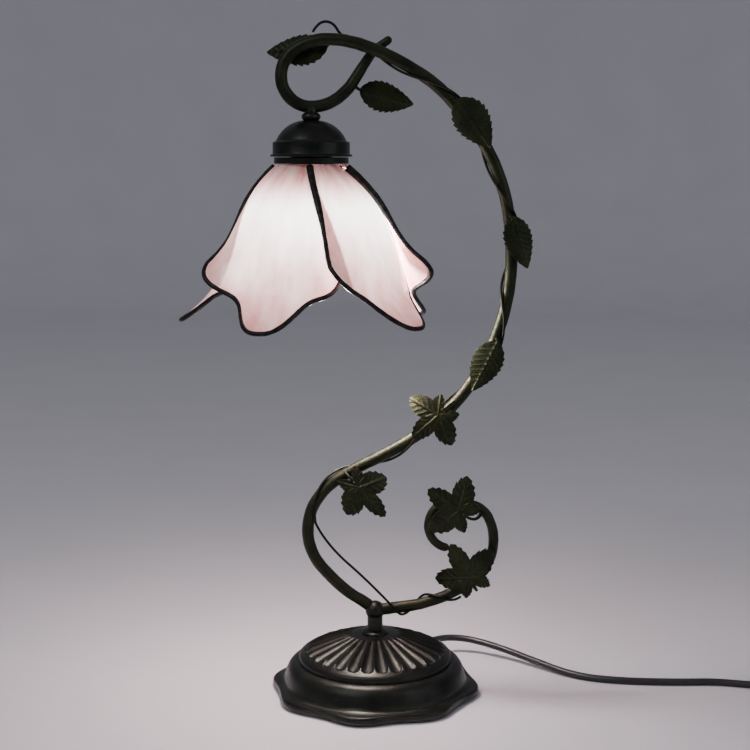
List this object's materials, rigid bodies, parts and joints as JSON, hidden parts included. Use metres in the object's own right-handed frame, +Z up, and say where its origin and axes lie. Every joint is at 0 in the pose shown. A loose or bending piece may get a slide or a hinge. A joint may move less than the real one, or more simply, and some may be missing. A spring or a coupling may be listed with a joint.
{
  "type": "table lamp",
  "caption": "Table lamp with a fluted bronze base, a swan-neck arm wound with a leafy vine, and a hanging flower shade of leaded pink opal glass petals.",
  "frame": {"origin": "under the middle of the base, on the table", "axes": "+Z up, +X to the right of the viewer in the picture, +Y away from the viewer"},
  "size_m": [0.676, 0.216, 0.5613],
  "materials": {
    "bronze": "dark patinated bronze",
    "leaf_bronze": "dark green bronze",
    "vine": "dark bronze wire",
    "felt": "felt",
    "cast_iron": "raw",
    "steel": "zinc plated",
    "brass": "bright",
    "holder": "phenolic",
    "shade_glass": "streaky opal",
    "lead_came": "black patina solder",
    "bulb_glass": "frosted",
    "cord": "smooth",
    "tie": "hook and loop",
    "black_plastic": "fine grain",
    "rocker": "moulded"
  },
  "bodies": {
    "lamp": {"arm_tube": "bronze", "base_plinth": "bronze", "base_weight": "cast_iron", "centre_contact": "brass", "cord_bushing": "cord", "cord_coil": "cord", "cord_tie": "tie", "dome_cap": "bronze", "felt_pad": "felt", "fluted_dome": "bronze", "inner_lead": "cord", "lamp_holder": "holder", "leaf_bend": "leaf_bronze", "leaf_crest": "leaf_bronze", "leaf_hook": "leaf_bronze", "leaf_loop": "leaf_bronze", "leaf_waist": "leaf_bronze", "mains_cord": "cord", "neck_ball": "bronze", "nipple": "brass", "nipple_nut": "steel", "plug_blades": "brass", "plug_body": "black_plastic", "ring_nut": "steel", "screw_shell": "brass", "scroll_branch": "bronze", "stem_collar": "bronze", "stem_nut": "steel", "stem_post": "bronze", "stem_washer": "steel", "switch_base": "black_plastic", "switch_cover": "black_plastic", "vine_leaf_high": "leaf_bronze", "vine_leaf_low": "leaf_bronze", "vine_leaf_scroll": "leaf_bronze", "vine_leaf_top": "leaf_bronze", "vine_wire": "vine"},
    "shade": {"shade_ring": "bronze", "petal_1": "shade_glass", "petal_2": "shade_glass", "petal_3": "shade_glass", "petal_4": "shade_glass", "petal_5": "shade_glass", "lead_edge_1": "lead_came", "lead_edge_2": "lead_came", "lead_edge_3": "lead_came", "lead_edge_4": "lead_came", "lead_edge_5": "lead_came"},
    "bulb": {"bulb_screw": "brass", "bulb_contact": "brass", "bulb_glass": "bulb_glass"},
    "rocker": {"switch_rocker": "rocker"}
  },
  "joints": [
    {"name": "shade_turn", "type": "hinge", "parent": "lamp", "child": "shade", "pos_m": [-0.052, 0.002, 0.448], "axis": [0, 0, 1], "continuous": true},
    {"name": "bulb_draw", "type": "slide", "parent": "lamp", "child": "bulb", "axis": [0, 0, -1], "range_m": [0, 0.1]},
    {"name": "rocker_tilt", "type": "hinge", "parent": "lamp", "child": "rocker", "pos_m": [0.393, -0.006, 0.012], "axis": [0, 1, 0], "range_deg": [-14, 0]}
  ]
}
